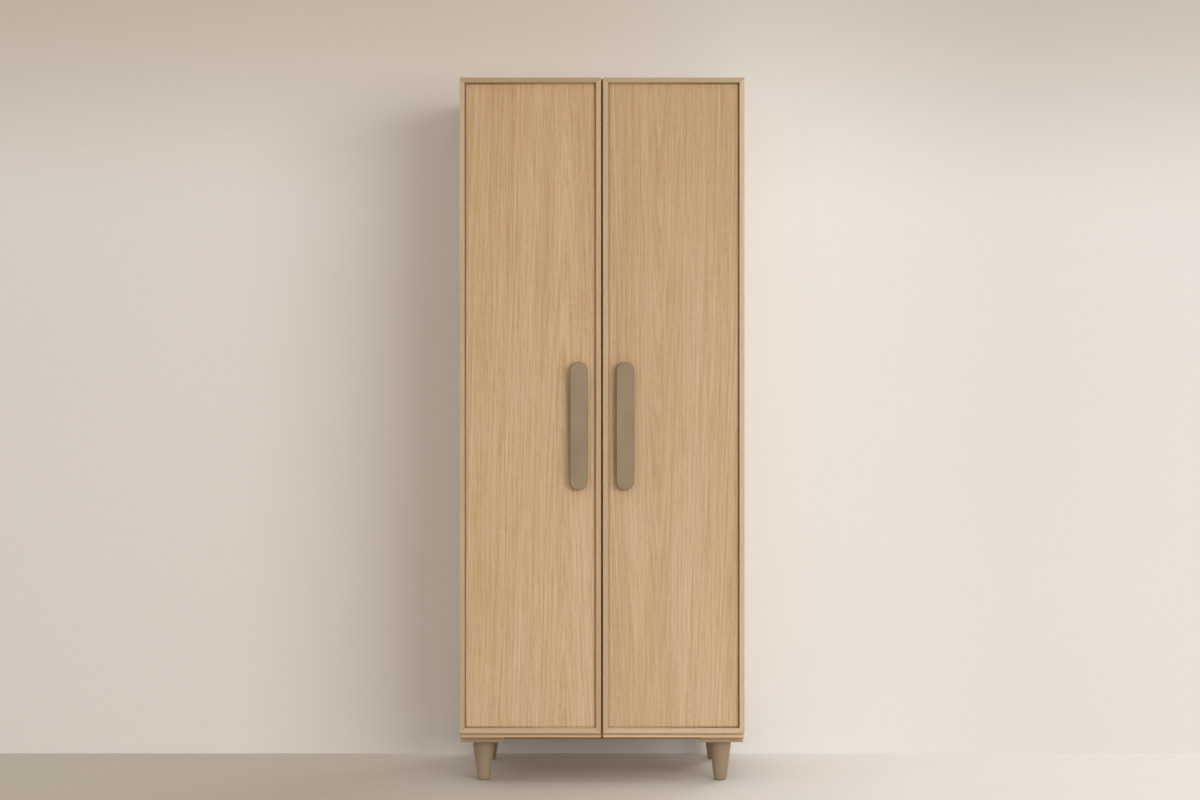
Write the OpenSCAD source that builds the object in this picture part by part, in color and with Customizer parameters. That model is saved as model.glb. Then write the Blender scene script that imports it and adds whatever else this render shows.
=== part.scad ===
// Two-door wardrobe of oak-veneered board on four turned legs.
// Millimetres, +Z up, doors towards -Y. The origin is on the floor, under the middle of the whole
// outline: halfway across the width, and halfway from the front of the handles to the back.

/* [Overall] */
// Width over the side panels, which is also the width over both doors
body_w = 800; // [700:5:1000]
// Height from the floor to the top of the cabinet
body_h = 1985; // [1850:5:2150]
// Depth of the cabinet without its doors
body_d = 500; // [440:5:620]

/* [Boards] */
// Thickness of the sides, top, bottom, partition and shelves
board_t = 18; // [16:1:22]
// Thickness of the two back panels
back_t = 5; // [4:0.5:8]
// How far the back panels stay inside the outline
back_inset = 1.5; // [0.5:0.5:4]
// Seam between the two back panels
back_seam = 0.5; // [0.3:0.1:2]

/* [Doors] */
// Gap between the two doors
door_gap = 5.5; // [3:0.5:8]
// Air between the doors and the front edges of the cabinet
door_air = 2.5; // [2.5:0.1:4]
// Height of the doors' lower edge above the underside of the cabinet
door_lift = 19; // [15:0.5:20]
// Thickness of a door's panel
slab_t = 16; // [16:0.5:22]
// Width of the frame strips on the face of a door
frame_w = 14; // [10:0.5:40]
// How far the frame strips stand in front of the panel
frame_t = 9; // [5:0.5:12]
// Width of the shadow groove beside the frame
groove_w = 4; // [1:0.5:6]
// Depth of the shadow groove
groove_d = 2; // [1:0.5:3]
// Chamfer on the rear hinge-side edge, so that the door swings past the cabinet
swing_chamfer = 2; // [2:0.1:3]

/* [Bottom lips] */
// Height of the lips' nose under the doors
lip_h = 7; // [6:0.5:8]
// Height of the lips' underside above the underside of the cabinet
lip_lift = 7; // [3:0.5:8]
// Depth of the nose in front of the lips' upstand
lip_nose = 6; // [4:0.5:10]
// Air between the lips' upstand and the lower edge of the doors
lip_air = 1; // [0.5:0.25:1.5]
// How far the lips stay behind the face of the doors
lip_back = 2; // [1:0.5:10]
// How far the lips stay inside the sides
lip_inset = 2; // [0:0.5:6]
// Radius on the front corners of the lips
lip_r = 3; // [1:0.5:6]

/* [Handles] */
// Width of a handle plate
handle_w = 50; // [34:1:60]
// Length of a handle plate
handle_len = 359; // [200:1:500]
// Thickness of a handle plate
handle_t = 9; // [8:0.5:14]
// Room for the fingers behind a handle plate
finger_gap = 14; // [12:0.5:30]
// Height of the middle of the handles above the floor
handle_z = 1007; // [900:1:1150]
// Distance from the middle of the wardrobe to the middle of a handle
handle_x = 65; // [45:1:90]
// Radius of the posts that carry a handle plate
post_r = 10; // [7:0.5:14]

/* [Hinges] */
// Hinges on each door
hinge_count = 4; // [3:1:5]
// Distance from the ends of a door to its first and last hinge
hinge_end = 100; // [80:5:140]
// Distance of the hinge pin from the outer edge of the door
pin_in = 7; // [6.9:0.05:7.2]
// Depth of the hinge pin behind the rear face of the door
pin_deep = 6.5; // [6.3:0.05:6.6]
// Radius of the hinge pin
pin_r = 1; // [0.8:0.05:1.1]
// How far the ends of the pin stay inside the outline of the cup
pin_short = 0.35; // [0.2:0.05:0.6]
// Radial running clearance between pin and knuckle
pin_play = 0.05; // [0.03:0.01:0.08]
// Radius of the hinge cup
cup_r = 17.45; // [17.4:0.05:17.8]
// Wood between the outer edge of the door and the cup
cup_edge = 3; // [2.8:0.1:3.2]
// Depth of the hinge cup
cup_depth = 12; // [11.5:0.1:13]
// Wall of the hinge cup
cup_wall = 1; // [0.8:0.1:1]
// Width of the hollow in the cup, along the door
hollow_w = 16; // [15:0.5:16.5]
// Thickness of the flange round the cup
flange_t = 1.2; // [1:0.1:1.3]
// Width of the flange's ring round the cup
flange_rim = 1.5; // [1:0.25:3]
// Distance of the flange from the outer edge of the door
flange_edge = 5; // [4.5:0.25:6]
// Metal round a screw head on the flange
ear_rim = 2.5; // [1.5:0.25:3]
// Distance from the middle of the cup to the ends of the flange
flange_reach = 31; // [29:0.5:36]
// Distance of the cup screws from the middle of the cup, along the door
cup_screw_z = 24; // [22:0.5:26]
// Distance of the cup screws from the middle of the cup, away from the edge
cup_screw_x = 9.5; // [8:0.5:11]
// Thickness of the hinge arm
arm_t = 1.8; // [1.4:0.1:2.2]
// Width of the hinge arm on its plate
arm_w = 12; // [10:0.5:13]
// Width of the arm's neck inside the cup
neck_w = 7; // [5:0.5:7]
// Radius of the knuckle round the hinge pin
knuckle_r = 2.4; // [2:0.1:2.4]
// Thickness of the mounting plate
mount_t = 2.2; // [1.8:0.1:3]
// Depth of the mounting plate, from front to back
mount_d = 30; // [24:1:34]
// Height of the mounting plate
mount_h = 50; // [46:1:60]
// Distance of the plate screws behind the front edge of the side
mount_line = 37; // [34:0.5:40]
// Distance between the two screws of a mounting plate
mount_pitch = 32; // [28:1:36]

/* [Bays] */
// Space between the top panel and the hat shelf
hat_space = 260; // [200:5:360]
// Distance from the hat shelf down to the middle of the rail
rail_drop = 60; // [50:1:90]
// Radius of the hanging rail
rail_r = 12.5; // [10:0.5:15]
// Wall of the hanging rail
rail_wall = 1.2; // [1:0.1:2]
// Shelves in the right-hand bay, with the fixed one
shelf_count = 4; // [3:1:5]
// Which shelf from below is the fixed one
fixed_at = 2; // [2:1:3]
// How far the shelves stay behind the front edges of the cabinet
shelf_setback = 56; // [55:1:90]
// Air behind a shelf
shelf_air = 2; // [1:0.5:5]
// Air on each side of a loose shelf
shelf_play = 0.75; // [0.5:0.25:1.5]
// Radius of the shelf pins
peg_r = 2.5; // [2:0.25:3]
// Depth of the shelf pins in the boards
peg_in = 8; // [6:0.5:8]
// Length of the shelf pins under the shelf
peg_out = 9; // [7:0.5:14]
// Distance of the shelf pins from the shelf's front and rear edges
peg_edge = 37; // [30:1:60]
// Pitch of the spare holes above and below each shelf pin
peg_pitch = 32; // [24:1:40]

/* [Legs] */
// Height of the legs under their plates, with the glides
leg_h = 115; // [80:1:160]
// Radius of a leg at its top
leg_top_r = 32; // [24:1:36]
// Radius of a leg at its foot
leg_foot_r = 18; // [14:1:24]
// Thickness of the glide under a leg
glide_t = 3; // [2:0.5:8]
// How much smaller the glide is than the foot
glide_step = 2; // [0.5:0.5:4]
// Side of a leg plate
plate_w = 122; // [110:1:150]
// Thickness of a leg plate
plate_t = 10.5; // [9:0.5:18]
// How far the leg plates stay inside the outline of the cabinet
plate_inset = 2.5; // [0.5:0.5:20]
// Distance of the plate screws from the plate's edges
plate_edge = 16; // [12:0.5:20]
// Radius of the bolt between leg and plate
hanger_r = 4; // [3:0.5:5]
// Length of that bolt in the leg
hanger_in = 25; // [15:1:35]
// Distance of that bolt's end from the underside of the cabinet
hanger_short = 1; // [0.5:0.25:3]

/* [Fittings] */
// Radial clearance round dowels, screws and pins in their holes
fit = 0.05; // [0.03:0.01:0.1]
// Radius of a corner dowel
dowel_r = 4; // [3:0.5:4.5]
// Length of a corner dowel
dowel_len = 30; // [25:1:40]
// Depth of a corner dowel in the face of a board
dowel_in = 10; // [8:0.5:11]
// Distance of the outer dowels from the front and rear edges
dowel_edge = 40; // [30:1:50]
// Radius of a lip dowel
lip_dowel_r = 2.5; // [1.5:0.25:2.5]
// Length of a lip dowel in the lip and in the board
lip_dowel_in = 12; // [8:0.5:13]
// Distance of the outer lip dowels from the ends of a lip
lip_dowel_edge = 60; // [40:1:90]
// Radius of a cam bolt
cam_bolt_r = 3.5; // [2.5:0.25:3.5]
// Radius of a cam lock
cam_r = 7.5; // [6:0.25:8]
// Depth of a cam lock
cam_depth = 12.5; // [12.5:0.25:13.5]
// Distance from the end of a board to the middle of its cam lock
cam_reach = 34; // [24:1:40]
// Distance of the cam locks from the front and rear edges
cam_edge = 90; // [70:1:110]
// Distance from the tip of a cam bolt to the middle of its cam
cam_gap = 1; // [0.5:0.25:2]
// Radius of a small screw
screw_r = 1.75; // [1.5:0.05:2]
// Length of a small screw under its head
screw_len = 16; // [12:0.5:16]
// Length of a door screw under its head
door_screw_len = 12; // [8:0.5:13]
// Radius of the heads of the small screws
head_r = 3.4; // [3:0.1:3.6]
// Thickness of the heads of the small screws
head_t = 1; // [0.8:0.1:1.1]
// Radius of a back nail
nail_r = 1; // [0.8:0.1:1.2]
// Length of a back nail with its head
nail_len = 20; // [16:1:25]
// Radius of a nail head
nail_head_r = 2.5; // [2:0.1:2.8]
// Thickness of a nail head
nail_head_t = 1; // [0.6:0.1:1.5]
// Nails up each side of a back panel
nail_rows = 7; // [5:1:10]
// Distance of the first nail from the corners of a bay
nail_edge = 60; // [40:5:90]
// Radius of a leg plate screw
lag_r = 2; // [1.75:0.25:2.5]
// Length of a leg plate screw above the plate
lag_in = 14; // [10:0.5:14]
// Radius of the head of a leg plate screw
lag_head_r = 4; // [3.5:0.25:5]
// Thickness of the head of a leg plate screw
lag_head_t = 3; // [2:0.25:4]
// Radius of a handle bolt
bolt_r = 2; // [1.5:0.25:2.5]
// Depth of a handle bolt in the handle plate
bolt_in = 5; // [3:0.5:6]
// Radius of the head of a handle bolt
bolt_head_r = 4; // [3.5:0.25:5]
// Thickness of the head of a handle bolt
bolt_head_t = 2.2; // [1.5:0.1:3]
// Thickness of the base of a rail bracket and of a catch
base_t = 3; // [2:0.5:4]
// Radius of the base of a rail bracket
rail_base_r = 25; // [24:0.5:28]
// Wall of the ring that holds the rail
ring_wall = 3; // [2:0.5:4]
// Length of the ring that holds the rail
ring_len = 14; // [10:1:20]
// Distance of the bracket screws from the middle of the rail
ring_screw = 20.5; // [20:0.5:22]
// Air between the rail and its ring, and at the ends of the rail
rail_play = 0.2; // [0.1:0.05:0.4]
// Distance from the middle of the wardrobe to a catch
catch_x = 70; // [50:1:110]
// Width of the body of a catch
catch_w = 26; // [20:1:30]
// Width of the base of a catch, with its ears
catch_base_w = 46; // [44:1:56]
// Depth of a catch
catch_d = 25; // [18:1:35]
// Height of the body of a catch
catch_h = 14; // [10:0.5:18]
// Width of a strike plate
strike_w = 30; // [24:1:40]
// Thickness of a strike plate
strike_t = 1.2; // [1.2:0.1:1.5]
// Air between a closed door and its catch and bumpers
rest_air = 0.2; // [0.1:0.05:0.4]
// Radius of a door bumper
bumper_r = 3; // [2:0.25:3]
// Distance of the bumpers from the ends of a door
bumper_end = 45; // [30:1:70]
// Width of a wall bracket
tie_w = 40; // [30:1:50]
// Depth of a wall bracket under the top
tie_d = 30; // [26:1:40]
// Distance of the bracket's screw from the back panel
tie_screw = 18; // [14:1:22]
// Height of a wall bracket on the back
tie_h = 40; // [36:1:60]
// Thickness of a wall bracket
tie_t = 2; // [1.5:0.1:3]
// Radius of the wall screw's hole
tie_hole_r = 3; // [2.5:0.25:4]
// Height of the wall screw's hole under the top panel
tie_drop = 25; // [20:1:28]

/* [Hidden] */
$fn = 48;
cut = 1;
left = -1;
right = 1;

// Colours
oak_face = [0.77, 0.65, 0.50];
oak_solid = [0.80, 0.68, 0.54];
oak_end = [0.70, 0.56, 0.41];
taupe = [0.52, 0.45, 0.36];
back_board = [0.72, 0.62, 0.49];
steel = [0.72, 0.73, 0.74];
chrome = [0.83, 0.84, 0.85];
beech = [0.82, 0.70, 0.52];
plastic = [0.88, 0.87, 0.84];
taupe_plastic = [0.50, 0.44, 0.35];

// Heights
floor_z = leg_h + plate_t;
bay_z = floor_z + board_t;
roof_z = body_h - board_t;
bay_h = roof_z - bay_z;
door_z = floor_z + door_lift;
door_h = body_h - door_z;

// Widths
half_w = body_w / 2;
bay_w = half_w - 1.5 * board_t;
door_w = half_w - door_gap / 2;

// Depths, from the back to the front of the handles
board_d = body_d - back_t;
door_t = slab_t + frame_t;
handle_reach = finger_gap + handle_t - frame_t;
total_d = body_d + door_air + door_t + handle_reach;
back_y = total_d / 2;
front_y = back_y - body_d;
back_face_y = front_y + board_d;
slab_back_y = front_y - door_air;
slab_front_y = slab_back_y - slab_t;
face_y = slab_front_y - frame_t;
plate_back_y = slab_front_y - finger_gap;

// Boards that stand upright, and where their dowels and cams are
upright_x = [-(half_w - board_t / 2), 0, half_w - board_t / 2];
dowel_y = [front_y + dowel_edge, front_y + board_d / 2, back_face_y - dowel_edge];
cam_y = [front_y + cam_edge, back_face_y - cam_edge];

// Shelves
shelf_y = front_y + shelf_setback;
shelf_d = board_d - shelf_setback - shelf_air;
hat_z = roof_z - hat_space - board_t;
shelf_pitch = (bay_h - shelf_count * board_t) / (shelf_count + 1);
peg_y = [shelf_y + peg_edge, shelf_y + shelf_d - peg_edge];
function shelf_z(i) = bay_z + i * shelf_pitch + (i - 1) * board_t;
fixed_z = shelf_z(fixed_at);
loose = [for (i = [1:shelf_count]) if (i != fixed_at) i];

// Rail
rail_z = hat_z - rail_drop;
rail_y = front_y + board_d / 2;
rail_x = [-half_w + board_t, -board_t / 2];
ring_r = rail_r + rail_play + ring_wall;

// Hinges, measured from a door's outer edge (u) and from the cabinet's front edges (v)
pin_v = -(door_air + pin_deep);
cup_u = cup_edge + cup_r;
cavity_r = cup_r - cup_wall;
arm_u = board_t + mount_t;
mount_v = mount_line - mount_d / 2;
hinge_step = (door_h - 2 * hinge_end) / (hinge_count - 1);
hinge_z = [for (i = [0:hinge_count - 1]) door_z + hinge_end + i * hinge_step];

// Legs
leg_x = half_w - plate_inset - plate_w / 2;
leg_y = [front_y + plate_inset + plate_w / 2, back_y - plate_inset - plate_w / 2];
lag_step = plate_w / 2 - plate_edge;

// The stretch between the partition and a leg plate, where the back is nailed to top and bottom
nail_run = leg_x - plate_w / 2 - board_t / 2;

// Handles
post_step = handle_len / 2 - handle_w / 2;

// Small fittings
ear_x = (catch_w + catch_base_w) / 4;
catch_front_y = slab_back_y + strike_t + rest_air;
tie_x = board_t / 2 + bay_w / 2;

// A cylinder's own axis laid along +X or +Y
module along_x() rotate([0, 90, 0]) children();
module along_y() rotate([-90, 0, 0]) children();

// Places its children, drawn with +X from the outer face inwards, on the left or the right side
module on_side(side) {
    translate([side * half_w, 0, 0])
        if (side == right) mirror([1, 0, 0]) children();
        else children();
}

// A round bar from its own zero upwards, made larger all round when it is used as a hole
module bar(r, len, grow = 0) {
    translate([0, 0, -grow]) cylinder(r = r + grow, h = len + 2 * grow);
}

// A screw that points along +Z, with the underside of its head at zero
module screw(r, len, hr, ht, grow = 0) {
    bar(r, len, grow);
    translate([0, 0, -ht]) bar(hr, ht, grow);
}

module small_screw(len, grow = 0) screw(screw_r, len, head_r, head_t, grow);

// Fastener sets: drawn with no growth as the fasteners, and with the fit as their holes

module corner_dowels(grow = 0) {
    for (x = upright_x, y = dowel_y) {
        translate([x, y, bay_z - dowel_in]) bar(dowel_r, dowel_len, grow);
        translate([x, y, roof_z + dowel_in - dowel_len]) bar(dowel_r, dowel_len, grow);
    }
}

module shelf_dowels(x, z, grow = 0) {
    for (y = peg_y, from = [x - dowel_in, x + bay_w + dowel_in - dowel_len])
        translate([from, y, z + board_t / 2]) along_x() bar(dowel_r, dowel_len, grow);
}

module hat_dowels(grow = 0) shelf_dowels(-half_w + board_t, hat_z, grow);
module fixed_dowels(grow = 0) shelf_dowels(board_t / 2, fixed_z, grow);

module lip_dowel_set(grow = 0) {
    first = door_gap / 2 + lip_dowel_edge;
    last = half_w - lip_inset - lip_dowel_edge;
    for (side = [left, right], x = [first, (first + last) / 2, last])
        translate([side * x, front_y - lip_dowel_in, floor_z + lip_lift + lip_h / 2])
            along_y() bar(lip_dowel_r, 2 * lip_dowel_in, grow);
}

module cam_bolt_set(grow = 0) {
    len = dowel_in + cam_reach - cam_gap;
    for (x = upright_x, y = cam_y) {
        translate([x, y, bay_z - dowel_in]) bar(cam_bolt_r, len, grow);
        translate([x, y, roof_z + dowel_in - len]) bar(cam_bolt_r, len, grow);
    }
}

// The cams open to the inside: to the right on the left side and the partition
module cam_lock_set(grow = 0) {
    faces = [-half_w + board_t - cam_depth, board_t / 2 - cam_depth, half_w - board_t];
    for (x = faces, y = cam_y, z = [bay_z + cam_reach, roof_z - cam_reach])
        translate([x, y, z]) along_x() bar(cam_r, cam_depth, grow);
}

module nail(grow = 0) {
    bar(nail_head_r, nail_head_t, grow);
    bar(nail_r, nail_len, grow);
}

module nail_set(grow = 0) {
    step = (bay_h - 2 * nail_edge) / (nail_rows - 1);
    for (side = [left, right]) {
        for (x = [board_t / 4, half_w - board_t / 2], i = [0:nail_rows - 1])
            translate([side * x, back_y, bay_z + nail_edge + i * step])
                rotate([90, 0, 0]) nail(grow);
        for (part = [1, 3], z = [floor_z + board_t / 2, roof_z + board_t / 2])
            translate([side * (board_t / 2 + nail_run * part / 5), back_y, z])
                rotate([90, 0, 0]) nail(grow);
    }
}

module peg_set(grow = 0) {
    for (i = loose, y = peg_y, x = [board_t / 2 - peg_in, half_w - board_t - peg_out])
        translate([x, y, shelf_z(i) - peg_r - 2 * fit])
            along_x() bar(peg_r, peg_in + peg_out, grow);
}

module spare_peg_holes() {
    for (i = loose, y = peg_y, up = [-1, 1], x = [board_t / 2 - peg_in, half_w - board_t])
        translate([x, y, shelf_z(i) - peg_r - 2 * fit + up * peg_pitch])
            along_x() bar(peg_r, peg_in, fit);
}

module mount_screw_set(grow = 0) {
    for (side = [left, right]) on_side(side)
        for (z = hinge_z, up = [-1, 1])
            translate([arm_u, front_y + mount_line, z + up * mount_pitch / 2])
                rotate([0, -90, 0]) small_screw(screw_len, grow);
}

module rail_screw_set(grow = 0) {
    for (up = [-1, 1]) {
        translate([rail_x[0] + base_t, rail_y, rail_z + up * ring_screw])
            rotate([0, -90, 0]) small_screw(screw_len, grow);
        translate([rail_x[1] - base_t, rail_y, rail_z + up * ring_screw])
            along_x() small_screw(screw_len, grow);
    }
}

module roof_screw_set(grow = 0) {
    for (side = [left, right]) {
        for (ear = [-1, 1])
            translate([side * catch_x + ear * ear_x, catch_front_y + catch_d / 2, roof_z - base_t])
                small_screw(screw_len, grow);
        translate([side * tie_x, back_face_y - tie_screw, roof_z - tie_t])
            small_screw(screw_len, grow);
    }
}

module lag_set(grow = 0) {
    for (side = [left, right], y = leg_y, a = [-1, 1], b = [-1, 1])
        translate([side * leg_x + a * lag_step, y + b * lag_step, leg_h + lag_head_t])
            screw(lag_r, plate_t - lag_head_t + lag_in, lag_head_r, lag_head_t, grow);
}

module leg_bolt_set(grow = 0) {
    for (side = [left, right], y = leg_y)
        translate([side * leg_x, y, leg_h - hanger_in])
            bar(hanger_r, hanger_in + plate_t - hanger_short, grow);
}

module handle_bolt_set(side, grow = 0) {
    for (up = [-1, 1])
        translate([side * handle_x, slab_back_y, handle_z + up * post_step])
            rotate([90, 0, 0])
                screw(bolt_r, slab_t + finger_gap + bolt_in, bolt_head_r, bolt_head_t, grow);
}

module cup_screw_set(side, grow = 0) {
    on_side(side) for (z = hinge_z, up = [-1, 1])
        translate([cup_u + cup_screw_x, slab_back_y + flange_t, z + up * cup_screw_z])
            rotate([90, 0, 0]) small_screw(door_screw_len, grow);
}

module strike_screw(side, grow = 0) {
    translate([side * catch_x, slab_back_y + strike_t - head_t, roof_z - catch_h / 2])
        rotate([90, 0, 0]) small_screw(door_screw_len, grow);
}

module hinge_pin_set(side, grow = 0) {
    reach = sqrt(pow(cup_r, 2) - pow(cup_u - pin_in + pin_r, 2)) - pin_short;
    on_side(side) for (z = hinge_z)
        translate([pin_in, front_y + pin_v, z - reach]) bar(pin_r, 2 * reach, grow);
}

// Cabinet

module side_panel(side) {
    color(oak_face) difference() {
        on_side(side) translate([0, front_y, bay_z]) cube([board_t, board_d, bay_h]);
        corner_dowels(fit);
        cam_bolt_set(fit);
        cam_lock_set(fit);
        nail_set(fit);
        mount_screw_set(fit);
        if (side == left) {
            hat_dowels(fit);
            rail_screw_set(fit);
        } else {
            fixed_dowels(fit);
            peg_set(fit);
            spare_peg_holes();
        }
    }
}

module left_side_panel() side_panel(left);
module right_side_panel() side_panel(right);

module top_panel() {
    color(oak_face) difference() {
        translate([-half_w, front_y, roof_z]) cube([body_w, board_d, board_t]);
        corner_dowels(fit);
        cam_bolt_set(fit);
        nail_set(fit);
        roof_screw_set(fit);
    }
}

module bottom_panel() {
    color(oak_face) difference() {
        translate([-half_w, front_y, floor_z]) cube([body_w, board_d, board_t]);
        corner_dowels(fit);
        cam_bolt_set(fit);
        nail_set(fit);
        lip_dowel_set(fit);
        lag_set(fit);
    }
}

module centre_partition() {
    color(oak_face) difference() {
        translate([-board_t / 2, front_y, bay_z]) cube([board_t, board_d, bay_h]);
        corner_dowels(fit);
        cam_bolt_set(fit);
        cam_lock_set(fit);
        nail_set(fit);
        hat_dowels(fit);
        fixed_dowels(fit);
        rail_screw_set(fit);
        peg_set(fit);
        spare_peg_holes();
    }
}

module back_panel(side) {
    w = half_w - back_inset - back_seam / 2;
    h = body_h - floor_z - 2 * back_inset;
    x = side == left ? -half_w + back_inset : back_seam / 2;
    color(back_board) difference() {
        translate([x, back_face_y, floor_z + back_inset]) cube([w, back_t, h]);
        nail_set(fit);
        translate([side * tie_x, back_face_y - cut, roof_z - tie_drop])
            along_y() cylinder(r = tie_hole_r, h = back_t + 2 * cut);
    }
}

module left_back_panel() back_panel(left);
module right_back_panel() back_panel(right);

// A plan with its two front corners rounded
module round_front(w, d, r) {
    translate([0, r]) square([w, d - r]);
    translate([r, 0]) square([w - 2 * r, d]);
    for (x = [r, w - r]) translate([x, r]) circle(r);
}

// A strip with a nose under the door's frame, and behind it an upstand that closes the gap
module bottom_lip(side) {
    w = half_w - lip_inset - door_gap / 2;
    x = side == left ? -half_w + lip_inset : door_gap / 2;
    y = face_y + lip_back;
    z = floor_z + lip_lift;
    color(oak_solid) difference() {
        union() {
            translate([x, y, z]) linear_extrude(lip_h) round_front(w, front_y - y, lip_r);
            translate([x, y + lip_nose, z])
                cube([w, front_y - y - lip_nose, door_z - lip_air - z]);
        }
        lip_dowel_set(fit);
    }
}

module left_bottom_lip() bottom_lip(left);
module right_bottom_lip() bottom_lip(right);

module hat_shelf() {
    color(oak_face) difference() {
        translate([-half_w + board_t, shelf_y, hat_z]) cube([bay_w, shelf_d, board_t]);
        hat_dowels(fit);
    }
}

module fixed_shelf() {
    color(oak_face) difference() {
        translate([board_t / 2, shelf_y, fixed_z]) cube([bay_w, shelf_d, board_t]);
        fixed_dowels(fit);
    }
}

module loose_shelves() {
    color(oak_face) for (i = loose)
        translate([board_t / 2 + shelf_play, shelf_y, shelf_z(i)])
            cube([bay_w - 2 * shelf_play, shelf_d, board_t]);
}

module shelf_pins() color(steel) peg_set();

module dowels() {
    color(beech) {
        corner_dowels();
        hat_dowels();
        fixed_dowels();
    }
}

module lip_dowels() color(beech) lip_dowel_set();
module cam_bolts() color(steel) cam_bolt_set();

module cam_locks() {
    color(steel) difference() {
        cam_lock_set();
        cam_bolt_set(fit);
    }
}

module back_nails() color(steel) nail_set();

// Rail and brackets

module hanging_rail() {
    from = rail_x[0] + base_t + rail_play;
    len = bay_w - 2 * (base_t + rail_play);
    color(chrome) translate([from, rail_y, rail_z]) along_x() difference() {
        cylinder(r = rail_r, h = len);
        translate([0, 0, -cut]) cylinder(r = rail_r - rail_wall, h = len + 2 * cut);
    }
}

// A round base with the ring that holds the rail's end, drawn from the wall along +Z
module rail_bracket() {
    cylinder(r = rail_base_r, h = base_t);
    difference() {
        cylinder(r = ring_r, h = base_t + ring_len);
        translate([0, 0, base_t]) cylinder(r = rail_r + rail_play, h = ring_len + cut);
    }
}

module rail_brackets() {
    color(chrome) difference() {
        union() {
            translate([rail_x[0], rail_y, rail_z]) along_x() rail_bracket();
            translate([rail_x[1], rail_y, rail_z]) rotate([0, -90, 0]) rail_bracket();
        }
        rail_screw_set(fit);
    }
}

module bracket_screws() {
    color(steel) {
        rail_screw_set();
        roof_screw_set();
    }
}

module wall_brackets() {
    color(steel) difference() {
        for (side = [left, right]) translate([side * tie_x - tie_w / 2, back_face_y, roof_z]) {
            translate([0, -tie_d, -tie_t]) cube([tie_w, tie_d, tie_t]);
            translate([0, -tie_t, -tie_h]) cube([tie_w, tie_t, tie_h]);
        }
        roof_screw_set(fit);
        for (side = [left, right])
            translate([side * tie_x, back_face_y - tie_t - cut, roof_z - tie_drop])
                along_y() cylinder(r = tie_hole_r, h = tie_t + 2 * cut);
    }
}

module magnetic_catches() {
    color(plastic) difference() {
        for (side = [left, right]) translate([side * catch_x, catch_front_y, roof_z]) {
            translate([-catch_w / 2, 0, -catch_h]) cube([catch_w, catch_d, catch_h]);
            translate([-catch_base_w / 2, 0, -base_t]) cube([catch_base_w, catch_d, base_t]);
        }
        roof_screw_set(fit);
    }
}

// Hinges

module hinge_plates() {
    color(steel) difference() {
        for (side = [left, right]) on_side(side) for (z = hinge_z)
            translate([board_t, front_y + mount_v, z - mount_h / 2])
                cube([mount_t, mount_d, mount_h]);
        mount_screw_set(fit);
    }
}

module hinge_plate_screws() color(steel) mount_screw_set();

// The knuckle turns on the pin; the neck leads out of the cup, and the arm back to its plate
module hinge_arm() {
    difference() {
        union() {
            translate([pin_in, pin_v, -neck_w / 2]) cylinder(r = knuckle_r, h = neck_w);
            translate([pin_in, pin_v - arm_t / 2, -neck_w / 2])
                cube([arm_u + arm_t - pin_in, arm_t, neck_w]);
            translate([arm_u, pin_v - arm_t / 2, -arm_w / 2])
                cube([arm_t, mount_v + mount_d - pin_v + arm_t / 2, arm_w]);
        }
        translate([pin_in, pin_v, -neck_w]) cylinder(r = pin_r + pin_play, h = 2 * neck_w);
    }
}

module hinge_arms() {
    color(steel) for (side = [left, right]) on_side(side)
        for (z = hinge_z) translate([0, front_y, z]) hinge_arm();
}

// The flange's outline: a ring that is cut off near the door's edge, with an ear above and below
module flange_plan() {
    intersection() {
        circle(cup_r + flange_rim);
        translate([flange_edge - cup_u, -2 * cup_r]) square(4 * cup_r);
    }
    ear_r = head_r + ear_rim;
    translate([cup_screw_x, 0]) {
        square([2 * ear_r, 2 * (flange_reach - ear_r)], center = true);
        for (y = [-1, 1]) translate([0, y * (flange_reach - ear_r)]) circle(ear_r);
    }
}

// The hollow that the arm's neck turns in: round towards the edge, with a flat wall at both ends
// of the pin
module hollow_plan() {
    intersection() {
        circle(cavity_r);
        square([2 * cavity_r, hollow_w], center = true);
    }
}

module hinge_cup() {
    difference() {
        union() {
            translate([0, 0, -cup_depth]) cylinder(r = cup_r, h = cup_depth);
            linear_extrude(flange_t) flange_plan();
        }
        translate([0, 0, cup_wall - cup_depth])
            linear_extrude(cup_depth + flange_t) hollow_plan();
    }
}

module hinge_cups(side) {
    color(steel) difference() {
        on_side(side) for (z = hinge_z)
            translate([cup_u, slab_back_y, z]) along_y() hinge_cup();
        hinge_pin_set(side, fit / 2);
        cup_screw_set(side, fit);
    }
}

module left_hinge_cups() hinge_cups(left);
module right_hinge_cups() hinge_cups(right);
module left_hinge_pins() color(chrome) hinge_pin_set(left);
module right_hinge_pins() color(chrome) hinge_pin_set(right);

module door_screws(side) {
    color(steel) {
        cup_screw_set(side);
        strike_screw(side);
    }
}

module left_door_screws() door_screws(left);
module right_door_screws() door_screws(right);

// Legs

module leg(side, row) {
    color(taupe) difference() {
        translate([side * leg_x, leg_y[row], glide_t])
            cylinder(r1 = leg_foot_r, r2 = leg_top_r, h = leg_h - glide_t);
        leg_bolt_set(fit);
    }
}

module front_left_leg() leg(left, 0);
module front_right_leg() leg(right, 0);
module rear_left_leg() leg(left, 1);
module rear_right_leg() leg(right, 1);

module leg_plates() {
    color(taupe) difference() {
        for (side = [left, right], y = leg_y)
            translate([side * leg_x - plate_w / 2, y - plate_w / 2, leg_h])
                cube([plate_w, plate_w, plate_t]);
        lag_set(fit);
        leg_bolt_set(fit);
    }
}

module leg_plate_screws() color(steel) lag_set();
module leg_bolts() color(steel) leg_bolt_set();

module leg_glides() {
    color(taupe_plastic) for (side = [left, right], y = leg_y)
        translate([side * leg_x, y, 0]) cylinder(r = leg_foot_r - glide_step, h = glide_t);
}

// Doors

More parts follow.
